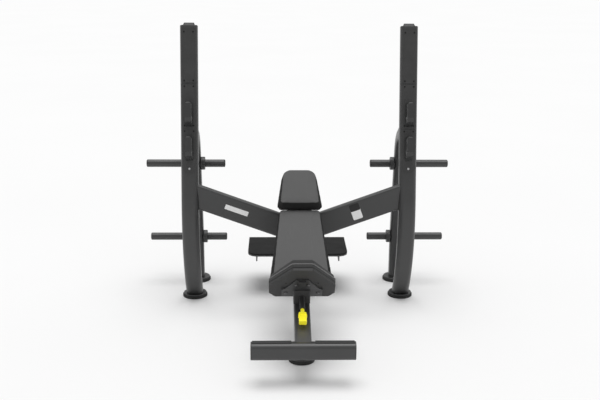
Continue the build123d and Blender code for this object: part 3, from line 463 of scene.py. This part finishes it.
def crowned_pad(name, outline, place, span, sides, ends, edge, crown):
    """Foam body: sides that lean inward, a tight top edge and a slightly crowned face."""
    rings = []
    base, top = span
    height = top - base
    # (height over the base, share of the lean, inset) from the stapled underside to the top edge
    profile = [(0.0, 0.0, 0.004), (0.002, 0.0, 0.001), (UNDERSIDE_TUCK, 0.0, 0.0)]
    for k in range(1, 7):
        t = k / 6
        profile.append((UNDERSIDE_TUCK + t * (height - edge - UNDERSIDE_TUCK), t, 0.0))
    for k in range(1, 6):
        a = k / 5 * math.pi / 2
        profile.append((height - edge * (1 - math.sin(a)), 1.0, edge * (1 - math.cos(a))))
    for rise, share, inset in profile:
        ring = shrink(lean_in(outline, share, sides, ends), inset)
        rings.append([(p, base + rise) for p in ring])
    centre = sum(outline, Vector((0, 0))) / len(outline)
    inner = shrink(lean_in(outline, 1.0, sides, ends), edge)
    for k in range(1, 9):
        t = k / 9
        lift = crown * (1 - (1 - t) ** 2)
        rings.append([(p.lerp(centre, t * 0.97), top + lift) for p in inner])
    bm = bmesh.new()
    rows = [[bm.verts.new(place(p.x, p.y, h)) for p, h in ring] for ring in rings]
    count = len(outline)
    for low, high in zip(rows, rows[1:]):
        for i in range(count):
            j = (i + 1) % count
            bm.faces.new((low[i], low[j], high[j], high[i]))
    bm.faces.new(rows[-1])
    bm.faces.new(list(reversed(rows[0])))
    bmesh.ops.recalc_face_normals(bm, faces=bm.faces[:])
    mesh = bpy.data.meshes.new(name)
    bm.to_mesh(mesh)
    bm.free()
    return mesh


def inflate(obj, voxel, pressure, cap, pinned):
    """Swells a foam body with a short cloth simulation, holding the parts that are stapled."""
    remesh = obj.modifiers.new("voxels", "REMESH")
    remesh.mode = "VOXEL"
    remesh.voxel_size = voxel
    bpy.context.view_layer.objects.active = obj
    bpy.ops.object.select_all(action="DESELECT")
    obj.select_set(True)
    bpy.ops.object.modifier_apply(modifier="voxels")
    rest = [v.co.copy() for v in obj.data.vertices]
    hold = obj.vertex_groups.new(name="hold")
    for v in obj.data.vertices:
        if pinned(v.co):
            hold.add([v.index], 1.0, "REPLACE")
    cloth = obj.modifiers.new("cloth", "CLOTH")
    cloth.settings.quality = 6
    cloth.settings.mass = 0.4
    cloth.settings.tension_stiffness = 18
    cloth.settings.compression_stiffness = 18
    cloth.settings.shear_stiffness = 8
    cloth.settings.bending_stiffness = 3
    cloth.settings.use_pressure = True
    cloth.settings.uniform_pressure_force = pressure
    cloth.settings.vertex_group_mass = "hold"
    cloth.settings.effector_weights.gravity = 0
    cloth.point_cache.frame_start = 1
    cloth.point_cache.frame_end = CLOTH_FRAMES
    for k in range(1, CLOTH_FRAMES + 1):
        bpy.context.scene.frame_set(k)
    bpy.ops.object.modifier_apply(modifier="cloth")
    bpy.context.scene.frame_set(1)
    for v, start in zip(obj.data.vertices, rest):
        shift = v.co - start
        if shift.length > cap:
            v.co = start + shift.normalized() * cap
    obj.vertex_groups.clear()
    smooth = obj.modifiers.new("smooth", "SMOOTH")
    smooth.factor = 0.5
    smooth.iterations = 2
    bpy.ops.object.modifier_apply(modifier="smooth")
    divide = obj.modifiers.new("divide", "SUBSURF")
    divide.levels = 1
    divide.render_levels = 1
    bpy.ops.object.modifier_apply(modifier="divide")


def tube_along(name, points, radius, sides=10):
    """Closed round bead through world points."""
    count = len(points)
    bm = bmesh.new()
    rows = []
    for i, point in enumerate(points):
        run = (points[(i + 1) % count] - points[i - 1]).normalized()
        side = run.cross(Vector((0.13, 0.31, 0.94))).normalized()
        lift = run.cross(side)
        row = []
        for k in range(sides):
            a = 2 * math.pi * k / sides
            spoke = side * math.cos(a) * radius
            row.append(bm.verts.new(point + spoke + lift * math.sin(a) * radius))
        rows.append(row)
    for i in range(count):
        low, high = rows[i], rows[(i + 1) % count]
        # match the start of each ring to the one before it, so that the bead never twists
        turn = min(range(sides), key=lambda s: (high[s].co - low[0].co).length)
        for k in range(sides):
            j = (k + 1) % sides
            bm.faces.new((low[k], low[j], high[(j + turn) % sides], high[(k + turn) % sides]))
    bmesh.ops.recalc_face_normals(bm, faces=bm.faces[:])
    mesh = bpy.data.meshes.new(name)
    bm.to_mesh(mesh)
    bm.free()
    mesh.shade_smooth()
    return mesh


def cushion(name, node, body, corners, radii, place, normal, span, sides, ends, edge, films):
    """One upholstered pad in place of a plain CAD block, with a face panel and a side panel; on
    the back pads the side panel's darker vinyl is painted shade.
    """
    base, top = span
    outline = walk(rounded_outline(corners, radii), OUTLINE_STEP)
    if area_sign(outline) < 0:
        outline.reverse()
    mesh = crowned_pad(
        name, outline, place, (base + LIFT_OFF_BOARD, top), sides, ends, edge, FACE_CROWN
    )
    obj = bpy.data.objects.new(name, mesh)
    bpy.context.scene.collection.objects.link(obj)
    floor_point = place(0, 0, base)
    shoulder = top - base - 0.6 * edge

    def held(point):
        return (point - floor_point).dot(normal) < shoulder

    inflate(obj, FOAM_VOXEL, FOAM_PRESSURE, LARGEST_SWELL, held)
    obj.data.materials.clear()
    for film in films:
        obj.data.materials.append(MATERIALS[film])
    # faces that lean away from the pad's face take the second film; on the back pads that is the
    # darker vinyl of painted shade
    for face in obj.data.polygons:
        face.material_index = 0 if face.normal.dot(normal) > FACE_PANEL_COSINE else 1
    obj.data.shade_smooth()
    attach(obj, body)
    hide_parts(node)
    return outline


def seat_place(u, v, h):
    """World point from across, forward and up, on the seat's own axes."""
    return SEAT_ORIGIN + ACROSS * u + SEAT_FORWARD * v + SEAT_NORMAL * h


def pad_place(u, v, h):
    """World point from across, up the incline and out of the face, on the back's own axes."""
    return PAD_ORIGIN + ACROSS * u + PAD_ALONG * v + PAD_NORMAL * h


def make_cushions():
    """Seat with its welt, lower back pad and head pad."""
    seat = [
        (-0.128, -0.008), (0.128, -0.008), (0.156, 0.034), (0.156, 0.120), (0.048, 0.276),
        (-0.048, 0.276), (-0.156, 0.120), (-0.156, 0.034),
    ]
    outline = cushion(
        "seat_upholstery", "seat_cushion", "seat", seat, [0.014] * 8, seat_place, SEAT_NORMAL,
        (0.012, 0.058), SEAT_LEAN, 0.0, 0.009, ("seat_vinyl", "seat_vinyl"),
    )
    seam = lean_in(outline, WELT_SHARE, SEAT_LEAN, 0.0)
    bead = tube_along("seat_welt", [seat_place(p.x, p.y, WELT_HEIGHT) for p in seam], WELT_RADIUS)
    # the welt's light vinyl paints the highlight that the seam catches
    new_piece("seat_welt", bead, "seat", "highlight_piping_vinyl")
    lower = [(-0.154, 0.015), (0.154, 0.015), (0.107, 0.460), (-0.107, 0.460)]
    # both back pads give their sides the darker vinyl: painted shade
    cushion(
        "lower_back_upholstery", "lower_back_pad", "bench_frame", lower, [0.014] * 4, pad_place,
        PAD_NORMAL, (-0.038, 0.0), (0.019, 0.009), 0.002, 0.005, ("pad_vinyl", "shaded_side_vinyl"),
    )
    head = [(-0.118, 0.463), (0.118, 0.463), (0.090, 0.708), (-0.090, 0.708)]
    cushion(
        "head_upholstery", "head_pad", "bench_frame", head, [0.016, 0.016, 0.050, 0.050],
        pad_place, PAD_NORMAL, (-0.005, 0.043), (0.018, 0.010), 0.003, 0.005,
        ("head_vinyl", "shaded_side_vinyl"),
    )


# ---- blank plates ------------------------------------------------------------------------
def flat_plate(name, centre, along, up, size, material, thickness=0.0008):
    """Thin blank plate stuck on a flat face, given its middle and its two directions."""
    along, up = along.normalized(), up.normalized()
    out = along.cross(up)
    outline = rounded_outline(
        [Vector(c) for c in (
            (-size[0] / 2, -size[1] / 2), (size[0] / 2, -size[1] / 2),
            (size[0] / 2, size[1] / 2), (-size[0] / 2, size[1] / 2),
        )], [min(size) * 0.12] * 4, 5,
    )
    bm = bmesh.new()
    rows = []
    for lift, inset in ((0.0, 0.0), (thickness * 0.6, 0.0), (thickness, thickness * 0.5)):
        row = shrink(outline, inset if area_sign(outline) > 0 else -inset)
        rows.append([bm.verts.new(centre + along * p.x + up * p.y + out * lift) for p in row])
    for low, high in zip(rows, rows[1:]):
        for i in range(len(outline)):
            j = (i + 1) % len(outline)
            bm.faces.new((low[i], low[j], high[j], high[i]))
    bm.faces.new(rows[-1])
    bm.faces.new(list(reversed(rows[0])))
    bmesh.ops.recalc_face_normals(bm, faces=bm.faces[:])
    mesh = bpy.data.meshes.new(name)
    bm.to_mesh(mesh)
    bm.free()
    return new_piece(name, mesh, "bench_frame", material)


def make_plates():
    """Blank name plate on one arm and a blank two-tone label on the other."""
    face_y = ARM_Y - ARM_DEPTH / 2
    for name, (sign, middle, size, material) in PLATES.items():
        along = Vector((math.cos(ARM_SLOPE), 0, sign * math.sin(ARM_SLOPE)))
        up = Vector((-along.z, 0, along.x))
        x, offset = middle
        lift = LABEL_LAP if material == "dark_film" else 0.0
        on_axis = Vector((x, face_y - lift, ARM_AXIS_Z + abs(x) * math.tan(ARM_SLOPE)))
        flat_plate(name, on_axis + up * offset, along, up, size, material)


# ---- floor and light ---------------------------------------------------------------------
def make_floor():
    """Plain pale studio floor that runs out of sight."""
    bm = bmesh.new()
    signs = ((-1, -1), (1, -1), (1, 1), (-1, 1))
    bm.faces.new([bm.verts.new((x * FLOOR_HALF, y * FLOOR_HALF, 0)) for x, y in signs])
    mesh = bpy.data.meshes.new("floor")
    bm.to_mesh(mesh)
    bm.free()
    floor = bpy.data.objects.new("floor", mesh)
    bpy.context.scene.collection.objects.link(floor)
    n = Nodes("floor")
    drift = n.noise(0.6, 2.0)
    n.link(n.ramp(drift, [(0.3, grey(0.865)), (0.7, grey(0.875))]), n.shader.inputs["Base Color"])
    n.shader.inputs["Roughness"].default_value = 0.9
    n.shader.inputs["Specular IOR Level"].default_value = 0.0
    floor.data.materials.append(n.material)


def sun(name, strength, spread, lean_x, lean_y):
    """Soft light from far away, leaning off the vertical by two angles in degrees."""
    data = bpy.data.lights.new(name, "SUN")
    data.energy = strength
    data.angle = math.radians(spread)
    light = bpy.data.objects.new(name, data)
    light.rotation_euler = (math.radians(lean_x), math.radians(lean_y), 0)
    bpy.context.scene.collection.objects.link(light)


def make_light():
    """Broad light from straight above in an even white studio."""
    world = bpy.data.worlds.new("studio")
    world.use_nodes = True
    background = world.node_tree.nodes["Background"]
    background.inputs["Color"].default_value = (1, 1, 1, 1)
    background.inputs["Strength"].default_value = 0.52
    bpy.context.scene.world = world
    sun("overhead", 1.90, 48.0, 0.0, 0.0)
    bpy.context.scene.view_settings.view_transform = "Standard"


make_camera()
paint_nodes()
make_cushions()
make_plates()
make_floor()
make_light()
